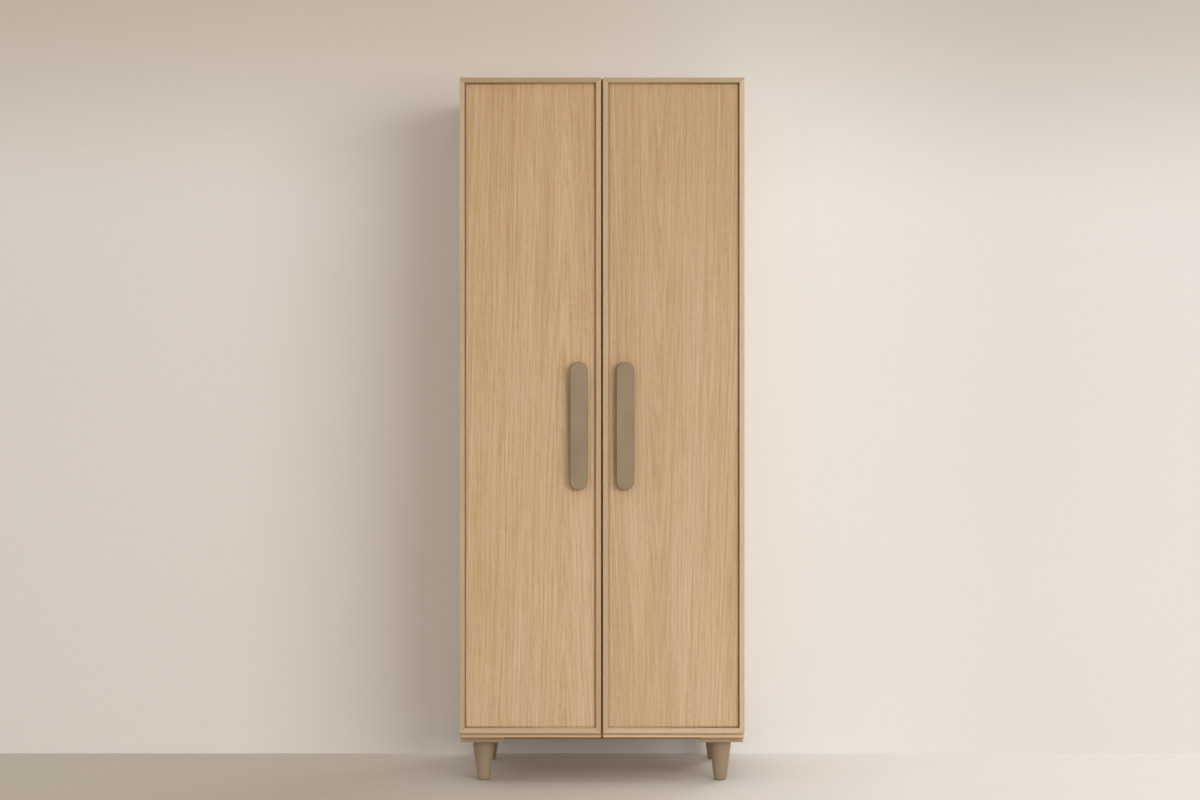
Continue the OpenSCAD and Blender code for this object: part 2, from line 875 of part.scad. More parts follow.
// The panel's plan, from its hinge-side edge inwards and from its rear face forwards
module slab_plan() {
    polygon([
        [0, -slab_t], [door_w, -slab_t], [door_w, 0], [swing_chamfer, 0], [0, -swing_chamfer]
    ]);
}

// A frame that runs round the door, from one distance to another inside its edges
module door_ring(from, to) {
    difference() {
        translate([from, from]) square([door_w - 2 * from, door_h - 2 * from]);
        translate([to, to]) square([door_w - 2 * to, door_h - 2 * to]);
    }
}

module door_panel(side) {
    color(oak_face) difference() {
        on_side(side) difference() {
            translate([0, slab_back_y, door_z]) linear_extrude(door_h) slab_plan();
            translate([0, slab_front_y + groove_d, door_z])
                rotate([90, 0, 0]) linear_extrude(groove_d + cut)
                    door_ring(frame_w, frame_w + groove_w);
            for (z = hinge_z)
                translate([cup_u, slab_back_y - cup_depth - fit, z])
                    along_y() cylinder(r = cup_r + fit, h = cup_depth + cut);
        }
        cup_screw_set(side, fit);
        strike_screw(side, fit);
        handle_bolt_set(side, fit);
    }
}

module left_door_panel() door_panel(left);
module right_door_panel() door_panel(right);

// A mitred strip along one edge of the door: an outline from the outer edge to the inner edge
module strip(side, outline) {
    color(oak_solid) on_side(side)
        translate([0, slab_front_y, door_z]) rotate([90, 0, 0])
            linear_extrude(frame_t) polygon(outline);
}

inner_w = door_w - frame_w;
inner_h = door_h - frame_w;
outer_stile = [[0, 0], [frame_w, frame_w], [frame_w, inner_h], [0, door_h]];
inner_stile = [[door_w, 0], [inner_w, frame_w], [inner_w, inner_h], [door_w, door_h]];
bottom_rail = [[0, 0], [frame_w, frame_w], [inner_w, frame_w], [door_w, 0]];
top_rail = [[0, door_h], [frame_w, inner_h], [inner_w, inner_h], [door_w, door_h]];

module left_outer_stile() strip(left, outer_stile);
module left_inner_stile() strip(left, inner_stile);
module left_top_rail() strip(left, top_rail);
module left_bottom_rail() strip(left, bottom_rail);
module right_outer_stile() strip(right, outer_stile);
module right_inner_stile() strip(right, inner_stile);
module right_top_rail() strip(right, top_rail);
module right_bottom_rail() strip(right, bottom_rail);

module pill(w, len) {
    square([w, len - w], center = true);
    for (y = [-1, 1]) translate([0, y * (len - w) / 2]) circle(w / 2);
}

module handle_plate(side) {
    color(taupe) difference() {
        translate([side * handle_x, plate_back_y, handle_z])
            rotate([90, 0, 0]) linear_extrude(handle_t) pill(handle_w, handle_len);
        handle_bolt_set(side, fit);
    }
}

module handle_posts(side) {
    color(taupe) difference() {
        for (up = [-1, 1])
            translate([side * handle_x, slab_front_y, handle_z + up * post_step])
                rotate([90, 0, 0]) cylinder(r = post_r, h = finger_gap);
        handle_bolt_set(side, fit);
    }
}

module left_handle_plate() handle_plate(left);
module right_handle_plate() handle_plate(right);
module left_handle_posts() handle_posts(left);
module right_handle_posts() handle_posts(right);
module left_handle_bolts() color(steel) handle_bolt_set(left);
module right_handle_bolts() color(steel) handle_bolt_set(right);

module strike_plate(side) {
    color(steel) difference() {
        translate([side * catch_x - strike_w / 2, slab_back_y, roof_z - catch_h])
            cube([strike_w, strike_t, catch_h]);
        strike_screw(side, fit);
    }
}

module left_strike_plate() strike_plate(left);
module right_strike_plate() strike_plate(right);

// Bumpers on the rear face of a door, in front of the partition's edge
module door_bumpers(side) {
    x = (door_gap / 2 + board_t / 2) / 2;
    color(plastic) for (z = [door_z + bumper_end, body_h - bumper_end])
        translate([side * x, slab_back_y, z])
            along_y() cylinder(r = bumper_r, h = door_air - rest_air);
}

module left_door_bumpers() door_bumpers(left);
module right_door_bumpers() door_bumpers(right);

left_side_panel();
right_side_panel();
top_panel();
bottom_panel();
centre_partition();
left_back_panel();
right_back_panel();
left_bottom_lip();
right_bottom_lip();
hat_shelf();
fixed_shelf();
loose_shelves();
shelf_pins();
dowels();
lip_dowels();
cam_bolts();
cam_locks();
back_nails();
hanging_rail();
rail_brackets();
bracket_screws();
wall_brackets();
magnetic_catches();
hinge_plates();
hinge_plate_screws();
hinge_arms();
front_left_leg();
front_right_leg();
rear_left_leg();
rear_right_leg();
leg_plates();
leg_plate_screws();
leg_bolts();
leg_glides();
left_door_panel();
left_outer_stile();
left_inner_stile();
left_top_rail();
left_bottom_rail();
left_handle_plate();
left_handle_posts();
left_handle_bolts();
left_hinge_cups();
left_hinge_pins();
left_door_screws();
left_strike_plate();
left_door_bumpers();
right_door_panel();
right_outer_stile();
right_inner_stile();
right_top_rail();
right_bottom_rail();
right_handle_plate();
right_handle_posts();
right_handle_bolts();
right_hinge_cups();
right_hinge_pins();
right_door_screws();
right_strike_plate();
right_door_bumpers();
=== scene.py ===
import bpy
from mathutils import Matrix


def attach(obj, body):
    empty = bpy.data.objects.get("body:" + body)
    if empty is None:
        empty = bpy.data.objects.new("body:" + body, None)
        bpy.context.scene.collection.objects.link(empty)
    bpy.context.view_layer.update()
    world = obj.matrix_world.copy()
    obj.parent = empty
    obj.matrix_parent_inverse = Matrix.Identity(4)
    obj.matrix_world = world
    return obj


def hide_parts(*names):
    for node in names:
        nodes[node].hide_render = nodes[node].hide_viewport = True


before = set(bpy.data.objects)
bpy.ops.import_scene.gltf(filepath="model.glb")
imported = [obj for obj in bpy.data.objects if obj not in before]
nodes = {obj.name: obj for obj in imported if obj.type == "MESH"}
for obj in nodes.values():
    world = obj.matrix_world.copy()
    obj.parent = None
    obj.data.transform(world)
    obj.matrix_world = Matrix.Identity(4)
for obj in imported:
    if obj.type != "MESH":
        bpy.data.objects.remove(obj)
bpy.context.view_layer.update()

import math
import bmesh
import bpy
from mathutils import Matrix, Vector


# Viewpoint
# The wardrobe is seen square on from 6.3 m, with a level camera a little above the middle of it.
# The lens takes in the whole height and a wide stretch of room on both sides.
eye_aside, eye_back, eye_height = -0.0056, 6.59675, 1.080
lens_length, film_width = 67.78, 36.0
scene = bpy.context.scene
scene.view_settings.view_transform = "Standard"
camera = bpy.data.objects.new("camera", bpy.data.cameras.new("camera"))
camera.data.sensor_width = film_width
camera.data.lens = lens_length
camera.location = (eye_aside, -eye_back, eye_height)
camera.rotation_euler = (math.radians(90), 0, 0)
scene.collection.objects.link(camera)
scene.camera = camera


# Floor and wall of the room
# A smooth pale floor, and a matt painted wall close behind the wardrobe. They are only the setting:
# both are seen through from behind, and the wall takes light without keeping any from the wardrobe.
def paint(red, green, blue):
    """A colour as it is seen, 0 to 255, in the linear form that the materials want."""
    return (*(((c / 255 + 0.055) / 1.055) ** 2.4 for c in (red, green, blue)), 1.0)


def put(tree, kind, inputs=None, **settings):
    """Adds a node, with its settings, and its inputs as plain values or as links."""
    made = tree.nodes.new(kind)
    for key, value in settings.items():
        setattr(made, key, value)
    for socket, value in (inputs or {}).items():
        if isinstance(value, bpy.types.NodeSocket):
            tree.links.new(value, made.inputs[socket])
        else:
            made.inputs[socket].default_value = value
    return made


def of_piece(tree, what):
    """The "Object" place on the piece in metres, or the "Normal" way in which its surface faces."""
    return put(tree, "ShaderNodeTexCoord").outputs[what]


def along(tree, vector, axis):
    """How far a place lies along one axis, or how much a surface faces that way."""
    return put(tree, "ShaderNodeSeparateXYZ", {0: vector}).outputs[axis]


def stretched_noise(tree, place, stretch, detail=2.0, roughness=0.5):
    """Noise with its own grain size along each direction, given per metre."""
    scaled = put(tree, "ShaderNodeVectorMath", {0: place, 1: stretch}, operation="MULTIPLY")
    return put(tree, "ShaderNodeTexNoise", {"Vector": scaled.outputs[0], "Scale": 1.0,
                                            "Detail": detail, "Roughness": roughness}).outputs[0]


def spread(tree, value, low, high, to_low=0.0, to_high=1.0):
    """Takes the values between low and high softly over to another span."""
    return put(tree, "ShaderNodeMapRange", {0: value, 1: low, 2: high, 3: to_low, 4: to_high},
               interpolation_type="SMOOTHSTEP").outputs[0]


def mixed(tree, share, first, second, blend="MIX", kind="RGBA"):
    """The first colour, with the second over it as far as the share says."""
    return put(tree, "ShaderNodeMix", {"Factor": share, "A": first, "B": second},
               data_type=kind, blend_type=blend).outputs["Result"]


def new_finish(name, **shader_values):
    """A material with its surface shader, whose plain values are given by name."""
    finish = bpy.data.materials.new(name)
    finish.use_nodes = True
    shader = finish.node_tree.nodes["Principled BSDF"]
    for socket, value in shader_values.items():
        shader.inputs[socket.replace("_", " ").title().replace("Ior", "IOR")].default_value = value
    return finish, finish.node_tree, shader


def surfaced(tree, shader, colour, height, strength, depth, roughness=None):
    """Gives a surface its colour, its fine relief of a depth in metres, and its own roughness."""
    tree.links.new(colour, shader.inputs["Base Color"])
    if roughness is not None:
        tree.links.new(roughness, shader.inputs["Roughness"])
    relief = put(tree, "ShaderNodeBump", {"Height": height, "Strength": strength,
                                          "Distance": depth})
    tree.links.new(relief.outputs[0], shader.inputs["Normal"])


def room_surface(name, corners, colour, mottle, shades):
    """A flat sheet of the room with softly uneven paint, clear when it is seen from behind. Each
    shade (tone, axis, near, far) is painted shade that deepens it along one axis, from the near
    place to the far one, or painted light that lifts it again if the tone is above white."""
    mesh = bpy.data.meshes.new(name)
    mesh.from_pydata(corners, [], [(0, 1, 2, 3)])
    sheet = bpy.data.objects.new(name, mesh)
    scene.collection.objects.link(sheet)
    finish, tree, shader = new_finish(name, roughness=0.85, specular_ior_level=0.2)
    place = of_piece(tree, "Object")
    cloud = stretched_noise(tree, place, (1.6, 1.6, 1.6), 3.0)
    tone = mixed(tree, cloud, paint(*colour), paint(*mottle))
    for shade, axis, near, far in shades:
        reach = spread(tree, along(tree, place, axis), near, far)
        tone = mixed(tree, reach, tone, paint(*shade), "MULTIPLY")
    grit = stretched_noise(tree, place, (240, 240, 240))
    surfaced(tree, shader, tone, grit, strength=0.08, depth=0.001)
    from_behind = put(tree, "ShaderNodeNewGeometry").outputs["Backfacing"]
    clear = put(tree, "ShaderNodeBsdfTransparent").outputs[0]
    both = put(tree, "ShaderNodeMixShader", {0: from_behind, 1: shader.outputs[0], 2: clear})
    tree.links.new(both.outputs[0], tree.nodes["Material Output"].inputs["Surface"])
    mesh.materials.append(finish)
    return sheet


def upright_sheet(y, half_width, top):
    """The corners of a sheet that stands on the floor."""
    return [(-half_width, y, 0), (half_width, y, 0), (half_width, y, top), (-half_width, y, top)]


# The floor is darkened with painted shade on the left and in a broad belt below the window light,
# and lifted back beyond it.
room_reach, room_height = 14, 7
floor_corners = [(-room_reach, -room_reach, 0), (room_reach, -room_reach, 0),
                 (room_reach, room_reach, 0), (-room_reach, room_reach, 0)]
floor_painted_shades = [((207, 198, 187), "X", 0.9, -0.9),
                ((176, 174, 171), "Y", -1.8, -5.0),
                ((367, 371, 377), "Y", -6.0, -9.5)]
room_surface("floor", floor_corners, (230, 225, 217), (234, 229, 222), floor_painted_shades)

# The wall is darkened with painted shade near the ceiling and on the right, and with a faint warm
# painted shade on the left. The strip of it behind the legs is a sheet of its own, which shades the
# floor there as a real wall does.
wall_y = 0.308
wall_painted_shades = [((226, 218, 209), "Z", 1.6, 2.4),
               ((255, 250, 245), "X", 0.4, -0.4),
               ((240, 238, 236), "X", 0.4, 1.4)]
wall_paint_and_shade = ((231, 230, 227), (234, 233, 231), wall_painted_shades)
wall = room_surface("wall", upright_sheet(wall_y, room_reach, room_height), *wall_paint_and_shade)
wall.visible_diffuse = wall.visible_glossy = wall.visible_shadow = False
wall.visible_transmission = False
strip_off, strip_half_width, strip_height = 0.0005, 0.4, 0.11
room_surface("wall_foot", upright_sheet(wall_y - strip_off, strip_half_width, strip_height),
             *wall_paint_and_shade)


# Daylight
# One broad soft window light from the right and the front, a weaker one from the right and behind
# for the rear of the wardrobe, and even pale light from all around.
def window_light(name, where, towards, size, watts, colour):
    """A soft rectangular light that faces a place in the room."""
    lamp = bpy.data.lights.new(name, "AREA")
    lamp.shape = "RECTANGLE"
    lamp.size, lamp.size_y = size
    lamp.energy = watts
    lamp.color = colour
    holder = bpy.data.objects.new(name, lamp)
    holder.location = where
    holder.rotation_euler = (Vector(towards) - Vector(where)).to_track_quat("-Z", "Y").to_euler()
    holder.visible_camera = False
    scene.collection.objects.link(holder)


window_light("window", where=(3.0, -5.4, 2.0), towards=(0, -0.2, 1.0), size=(4.0, 2.4),
             watts=162, colour=(1.0, 0.995, 0.985))
window_light("rear_window", where=(3.6, 4.2, 2.6), towards=(0, 0.2, 1.0), size=(2.4, 2.4),
             watts=80, colour=(1.0, 1.0, 1.0))
room = bpy.data.worlds.new("room")
scene.world = room
room.use_nodes = True
sky = room.node_tree.nodes["Background"]
sky.inputs["Color"].default_value = paint(244, 242, 240)
sky.inputs["Strength"].default_value = 0.83


# Side panels
# Chipboard, 18 mm, veneered with oak on both faces and on the front edges, the grain upright.
# Dowels and cams join them to the top and the bottom; the raw rear edges meet the back panels.
def grouped(name, inputs, outputs, tree_kind="ShaderNodeTree"):
    """A node group with named inputs, (name, kind, value), and named outputs, (name, kind)."""
    group = bpy.data.node_groups.new(name, tree_kind)
    kinds = {"colour": "NodeSocketColor", "number": "NodeSocketFloat",
             "vector": "NodeSocketVector", "mesh": "NodeSocketGeometry"}
    for label, kind, value in inputs:
        socket = group.interface.new_socket(label, in_out="INPUT", socket_type=kinds[kind])
        if value is not None:
            socket.default_value = value
    for label, kind in outputs:
        group.interface.new_socket(label, in_out="OUTPUT", socket_type=kinds[kind])
    return group, put(group, "NodeGroupInput"), put(group, "NodeGroupOutput")


def hand_out(group, put_out, **results):
    """Ties each result of a group to the output of that name."""
    for label, result in results.items():
        group.links.new(result, put_out.inputs[label])


def worked(tree, operation, a, b=0.0, clamp=False):
    """One step of reckoning with one number or two."""
    return put(tree, "ShaderNodeMath", {0: a, 1: b}, operation=operation,
               use_clamp=clamp).outputs[0]


def plus(tree, first, *others):
    """All the values added up."""
    for other in others:
        first = worked(tree, "ADD", first, other)
    return first


def times(tree, a, b):
    """One value multiplied by the other."""
    return worked(tree, "MULTIPLY", a, b)


def swing(tree, noise, reach, core=0.25):
    """Noise as a swing to both sides of nothing, at its full reach beyond the core of its span."""
    return spread(tree, noise, 0.5 - core, 0.5 + core, -reach, reach)


def ring_noise(tree, depth, per_metre, detail, roughness=0.5):
    """Noise that changes only with the depth from the heart of the trunk."""
    return put(tree, "ShaderNodeTexNoise", {"W": depth, "Scale": per_metre, "Detail": detail,
                                            "Roughness": roughness},
               noise_dimensions="1D").outputs[0]


# The cut of oak: X is across the grain, Z is along it. The rings run as tall narrow flames round
# the heart line, over them lie fine streaks, short open pores and pale ray flecks. Above the
# middle the wood is darkened with painted shade, and below it made paler with painted light, as far
# as the fade says.
oak_cut, given, put_out = grouped(
    "oak_cut",
    [("Place", "vector", None), ("Heart", "number", 0.0), ("Rise", "number", 0.05),
     ("Rings", "number", 0.34), ("Streaks", "number", 0.50), ("Pores", "number", 0.5),
     ("Fade", "number", 0.0), ("Middle", "number", 0.0),
     ("Light", "colour", paint(205, 174, 138)), ("Dark", "colour", paint(184, 151, 112)),
     ("Pore", "colour", paint(150, 113, 70))],
    [("Color", "colour"), ("Roughness", "number"), ("Height", "number")])
place = given.outputs["Place"]
upwards = along(oak_cut, place, "Z")

# How close the marks of the grain lie, per metre across the board, through it and along it
sway_size, wander_size, cloud_size = (2.6, 2.6, 0.8), (16, 16, 3), (14, 14, 1.2)
streak_size, thread_size = (320, 320, 9.0), (240, 240, 2.4)
pore_size, fleck_size = (1900, 1900, 60), (420, 420, 70)

# Rings, by the depth from the heart line; near that line they close over in a rounded flame
flame_width_squared = 0.0006
sway = swing(oak_cut, stretched_noise(oak_cut, place, sway_size, 1.0), reach=0.010, core=0.3)
wander = swing(oak_cut, stretched_noise(oak_cut, place, wander_size), reach=0.0018, core=0.3)
across = plus(oak_cut, along(oak_cut, place, "X"), sway, wander)
off_heart = worked(oak_cut, "SUBTRACT", across, given.outputs["Heart"])
off_heart_squared = worked(oak_cut, "POWER", off_heart, 2.0)
trunk_radius = worked(oak_cut, "SQRT", plus(oak_cut, off_heart_squared, flame_width_squared))
depth = plus(oak_cut, trunk_radius, times(oak_cut, upwards, given.outputs["Rise"]))
rings = ring_noise(oak_cut, depth, per_metre=170.0, detail=2.0, roughness=0.6)
bands = ring_noise(oak_cut, depth, per_metre=34.0, detail=1.0)
ring_part = plus(oak_cut, swing(oak_cut, rings, reach=0.5, core=0.2),
                 swing(oak_cut, bands, reach=0.22, core=0.2))

# Streaks along the grain, and broad clouds of tone over several of them
streaks = stretched_noise(oak_cut, place, streak_size, 3.0, 0.65)
threads = stretched_noise(oak_cut, place, thread_size)
clouds = stretched_noise(oak_cut, place, cloud_size)
streak_part = plus(oak_cut, swing(oak_cut, streaks, reach=0.7),
                   swing(oak_cut, threads, reach=0.45))
tone = plus(oak_cut, times(oak_cut, ring_part, given.outputs["Rings"]),
            times(oak_cut, streak_part, given.outputs["Streaks"]))
tone = worked(oak_cut, "ADD", tone, spread(oak_cut, clouds, 0.25, 0.75, 0.35, 0.65), clamp=True)

# Pores, most of them in the open early wood of each ring, and pale ray flecks over all
pore_lines = spread(oak_cut, stretched_noise(oak_cut, place, pore_size, 1.0), 0.56, 0.68)
pores = times(oak_cut, pore_lines, spread(oak_cut, rings, 0.35, 0.6, 0.25, 1.0))
flecks = spread(oak_cut, stretched_noise(oak_cut, place, fleck_size, 0.0), 0.66, 0.74)
fleck_strength = 0.25
ground = mixed(oak_cut, tone, given.outputs["Light"], given.outputs["Dark"])
pored = mixed(oak_cut, times(oak_cut, pores, given.outputs["Pores"]), ground,
              given.outputs["Pore"])
flecked = mixed(oak_cut, times(oak_cut, flecks, fleck_strength), pored, given.outputs["Light"])

# The painted shade takes the most from the blue and the least from the red
shade_pull = (0.8, 1.14, 1.67)
off_middle = worked(oak_cut, "SUBTRACT", given.outputs["Middle"], upwards)
painted_top_shade = put(oak_cut, "ShaderNodeVectorMath",
               {0: shade_pull, 1: times(oak_cut, off_middle, given.outputs["Fade"]),
                2: (1.0, 1.0, 1.0)}, operation="MULTIPLY_ADD").outputs[0]
top_shaded = put(oak_cut, "ShaderNodeVectorMath", {0: flecked, 1: painted_top_shade}, operation="MULTIPLY")
hand_out(oak_cut, put_out, Color=top_shaded.outputs[0],
         Roughness=plus(oak_cut, spread(oak_cut, streaks, 0.25, 0.75, 0.46, 0.56),
                        times(oak_cut, pores, 0.15)),
         Height=worked(oak_cut, "SUBTRACT", times(oak_cut, streaks, 0.4), pores))

# Chipboard where it stays bare: pale and brown chips pressed flat, in a rough dry surface
chip_core, given, put_out = grouped("chip_core", [("Place", "vector", None)],
                                    [("Color", "colour"), ("Height", "number")])
chips_per_metre = 520.0
chips = put(chip_core, "ShaderNodeTexVoronoi", {"Vector": given.outputs["Place"],
                                                "Scale": chips_per_metre})
chip_tone = put(chip_core, "ShaderNodeSeparateColor", {0: chips.outputs["Color"]}).outputs[0]
hand_out(chip_core, put_out, Height=chip_tone,
         Color=mixed(chip_core, chip_tone, paint(196, 168, 130), paint(150, 118, 84)))

# How the grain lies: upright on a front, upright on a side, or lying from end to end
upright = (0, 0, 0)
upright_across_y = (0, 0, math.radians(90))
lying = (0, math.radians(90), 0)

# How much of a surface has to face backwards to be a rear one, or forwards to be a front one
rear_facing, front_facing = 0.9, -0.5


def oak_finish(name, turn, shift, bare_back=False, **cut_values):
    """Oiled oak veneer or solid oak, its grain turned along the board."""
    finish, tree, shader = new_finish(name, specular_ior_level=0.32)
    place = of_piece(tree, "Object")
    turned_place = put(tree, "ShaderNodeMapping", {"Vector": place, "Rotation": turn,
                                                   "Location": shift}).outputs[0]
    cut = put(tree, "ShaderNodeGroup", node_tree=oak_cut)
    tree.links.new(turned_place, cut.inputs["Place"])
    for socket, value in cut_values.items():
        cut.inputs[socket.title()].default_value = value
    colour, roughness, height = (cut.outputs[k] for k in ("Color", "Roughness", "Height"))
    if bare_back:
        facing = along(tree, of_piece(tree, "Normal"), "Y")
        bare = worked(tree, "GREATER_THAN", facing, rear_facing)
        core = put(tree, "ShaderNodeGroup", node_tree=chip_core)
        tree.links.new(place, core.inputs["Place"])
        colour = mixed(tree, bare, colour, core.outputs["Color"])
        height = mixed(tree, bare, height, core.outputs["Height"], kind="FLOAT")
    surfaced(tree, shader, colour, height, strength=0.35, depth=0.0003, roughness=roughness)
    return finish


def laid_over(finish, mask, tone):
    """Deepens a finish by a tone where the mask is 1, such as in a groove or on a raw edge."""
    tree = finish.node_tree
    base = tree.nodes["Principled BSDF"].inputs["Base Color"]
    tree.links.new(mixed(tree, mask, base.links[0].from_socket, tone, "MULTIPLY"), base)
    return finish


def front_between(finish, axis, low, high):
    """A mask of the front-facing surface between two places along an axis."""
    tree = finish.node_tree
    at = along(tree, of_piece(tree, "Object"), axis)
    facing = along(tree, of_piece(tree, "Normal"), "Y")
    to_front = worked(tree, "LESS_THAN", facing, front_facing)
    inside = times(tree, worked(tree, "GREATER_THAN", at, low), worked(tree, "LESS_THAN", at, high))
    return times(tree, inside, to_front)


# Sharp edges taken off: only the long edges of a piece are rounded, not the rims of its holes
sharp_angle = math.radians(28)
long_edges, given, put_out = grouped(
    "long_edges", [("Geometry", "mesh", None), ("Shortest", "number", None)],
    [("Geometry", "mesh")], "GeometryNodeTree")
edge_angle = put(long_edges, "GeometryNodeInputMeshEdgeAngle").outputs[0]
bent = put(long_edges, "FunctionNodeCompare", {"A": edge_angle, "B": sharp_angle},
           operation="GREATER_THAN").outputs[0]
ends = put(long_edges, "GeometryNodeInputMeshEdgeVertices")
edge_length = put(long_edges, "ShaderNodeVectorMath",
                  {0: ends.outputs["Position 1"], 1: ends.outputs["Position 2"]},
                  operation="DISTANCE").outputs["Value"]
long_enough = put(long_edges, "FunctionNodeCompare",
                  {"A": edge_length, "B": given.outputs["Shortest"]},
                  operation="GREATER_THAN").outputs[0]
chosen = put(long_edges, "FunctionNodeBooleanMath", {0: bent, 1: long_enough}).outputs[0]
plain = put(long_edges, "GeometryNodeRemoveAttribute",
            {"Geometry": given.outputs["Geometry"], "Name": "custom_normal"}).outputs[0]
smooth = put(long_edges, "GeometryNodeSetShadeSmooth",
             {"Geometry": plain, "Shade Smooth": True}).outputs[0]
creased = put(long_edges, "GeometryNodeSetShadeSmooth",
              {"Geometry": smooth, "Selection": bent, "Shade Smooth": False},
              domain="EDGE").outputs[0]
marked = put(long_edges, "GeometryNodeStoreNamedAttribute",
             {"Geometry": creased, "Name": "bevel_weight_edge", "Value": chosen},
             data_type="FLOAT", domain="EDGE").outputs[0]
hand_out(long_edges, put_out, Geometry=marked)


def dress(name, finish, round_by=0.0006, shortest=0.003, steps=2):
    """Gives a CAD part its finish, and rounds by a radius its edges longer than the shortest."""
    part = nodes[name]
    for slot in part.material_slots:
        slot.material = finish
    part.modifiers.new("welded", "WELD").merge_threshold = 0.00001
    flat = part.modifiers.new("flat_faces", "DECIMATE")
    flat.decimate_type = "DISSOLVE"
    flat.angle_limit = math.radians(0.2)
    picked = part.modifiers.new("long_edges", "NODES")
    picked.node_group = long_edges
    picked["Socket_1"] = shortest
    if round_by:
        rounded = part.modifiers.new("eased", "BEVEL")
        rounded.limit_method = "WEIGHT"
        rounded.width = round_by
        rounded.segments = steps
        rounded.use_clamp_overlap = rounded.loop_slide = False
        rounded.harden_normals = True


cabinet_tones = {"light": paint(206, 175, 139), "dark": paint(186, 153, 114)}
for hand, shift, heart, rise in (("left", (0.31, 1.7, 0.4), 0.02, 0.04),
                                 ("right", (0.12, 4.2, 2.1), -0.06, -0.035)):
    dress(f"{hand}_side_panel",
          oak_finish(f"{hand}_side_oak", upright_across_y, shift, bare_back=True,
                     heart=heart, rise=rise, **cabinet_tones))


# Top, bottom and centre partition
# The same veneered chipboard. The grain of top and bottom runs from side to side, and that of the
# partition, which splits the cabinet into two bays, is upright.
dress("top_panel", oak_finish("top_oak", lying, (0.5, 2.2, 1.1), bare_back=True,
                              heart=0.2, rise=0.03, **cabinet_tones))
dress("centre_partition",
      oak_finish("partition_oak", upright_across_y, (0.7, 0.6, 5.2), bare_back=True, heart=0.1,
                 rise=0.03, light=paint(206, 170, 124), dark=paint(184, 147, 100)))

# The front edge of the bottom is darkened with painted shade below the lips, from one leg plate to
# the other
shade_foot, shade_top = 0.120, 0.1315
plate_inner_edge = 0.2755
bottom_oak = oak_finish("bottom_oak", lying, (0.9, 3.1, 3.3), bare_back=True,
                        heart=0.6, rise=-0.03, **cabinet_tones)
painted_shade_under_lips = times(bottom_oak.node_tree,
                     front_between(bottom_oak, "Z", shade_foot, shade_top),
                     front_between(bottom_oak, "X", -plate_inner_edge, plate_inner_edge))
dress("bottom_panel", laid_over(bottom_oak, painted_shade_under_lips, paint(150, 140, 128)))


# Shelves
# Veneered boards set back from the doors: a hat shelf over the rail on the left, and on the right
# one shelf that is dowelled in place and three that rest loose on pins.
shelf_oak = oak_finish("shelf_oak", lying, (1.4, 5.0, 2.6), bare_back=True,
                       heart=-1.1, rise=0.025, **cabinet_tones)
for shelf in ("hat_shelf", "fixed_shelf", "loose_shelves"):
    dress(shelf, shelf_oak)


# Wooden dowels
# Fluted beech pegs with chamfered ends, glued into the ends of the boards and behind the bottom
# lips. They keep the boards in line while the cams draw them together.
same_point, same_level = 0.000001, 0.00001


def lone_pieces(name):
    """The separate solids of a CAD part in its own order, each as the list of its corner points."""
    mesh = bmesh.new()
    mesh.from_mesh(nodes[name].data)
    bmesh.ops.remove_doubles(mesh, verts=mesh.verts, dist=same_point)
    seen, solids = set(), []
    for start in mesh.verts:
        if start in seen:
            continue
        seen.add(start)
        reached = [start]
        for corner in reached:
            for edge in corner.link_edges:
                other = edge.other_vert(corner)
                if other not in seen:
                    seen.add(other)
                    reached.append(other)
        solids.append([corner.co.copy() for corner in reached])
    mesh.free()
    return solids


def sized(points, head_up=None):
    """A round piece's place, its Z pointing out of the wide end, with the radius and the height of
    the head, the radius of the shank and the whole length."""
    low = Vector([min(p[i] for p in points) for i in range(3)])
    high = Vector([max(p[i] for p in points) for i in range(3)])
    size, middle = high - low, (high + low) / 2
    lengthwise = max(range(3), key=lambda i: abs(size[i] - sorted(size)[1]))
    axis = Vector([float(i == lengthwise) for i in range(3)])

    def off_axis(p):
        return ((p - middle) - axis * (p - middle).dot(axis)).length

    def widest(level):
        return max(off_axis(p) for p in points if abs(p[lengthwise] - level) < same_level)

    ends = (high[lengthwise], low[lengthwise])
    up = head_up if head_up is not None else widest(ends[0]) >= widest(ends[1])
    head_at, tip_at = ends if up else ends[::-1]
    head_radius = widest(head_at)
    head_height = max(abs(p[lengthwise] - head_at) for p in points
                      if off_axis(p) > head_radius - same_level)
    turn = (axis if up else -axis).to_track_quat("Z", "Y").to_matrix().to_4x4()
    top = middle + axis * (head_at - middle[lengthwise])
    return (Matrix.Translation(top) @ turn, head_radius, head_height, widest(tip_at),
            size[lengthwise])


def turned(mesh, place, outline, around=24, thread=None, flute=0.0):
    """A turned solid, open at its first ring, down an outline of (depth, radius). A thread is
    (first depth, last depth, pitch, height); flutes are grooves along the whole piece."""
    rows_per_pitch, corners_per_flute = 6, 4
    rows = list(outline)
    if thread:
        first, last, pitch, bite = thread
        count = int((last - first) / pitch * rows_per_pitch)
        for step in range(1, count):
            at = first + (last - first) * step / count
            above = max((row for row in outline if row[0] <= at), key=lambda row: row[0])
            below = min((row for row in outline if row[0] > at), key=lambda row: row[0])
            share = (at - above[0]) / (below[0] - above[0])
            rows.append((at, above[1] + share * (below[1] - above[1])))
        rows.sort(key=lambda row: row[0])
    rings = []
    for depth, radius in rows:
        ring = []
        for k in range(around):
            rise = -flute if k % corners_per_flute == 0 else 0.0
            if thread and first < depth < last:
                crest = abs(2 * ((depth / pitch - k / around) % 1) - 1)
                rise += bite * max(0.0, 1.5 * crest - 0.5)
            angle = 2 * math.pi * k / around
            ring.append(mesh.verts.new(place @ Vector(((radius + rise) * math.cos(angle),
                                                       (radius + rise) * math.sin(angle),
                                                       -depth))))
        if rings:
            for k in range(around):
                mesh.faces.new((rings[-1][k - 1], rings[-1][k], ring[k], ring[k - 1]))
        rings.append(ring)
    mesh.faces.new(rings[-1])
    return rings[0]


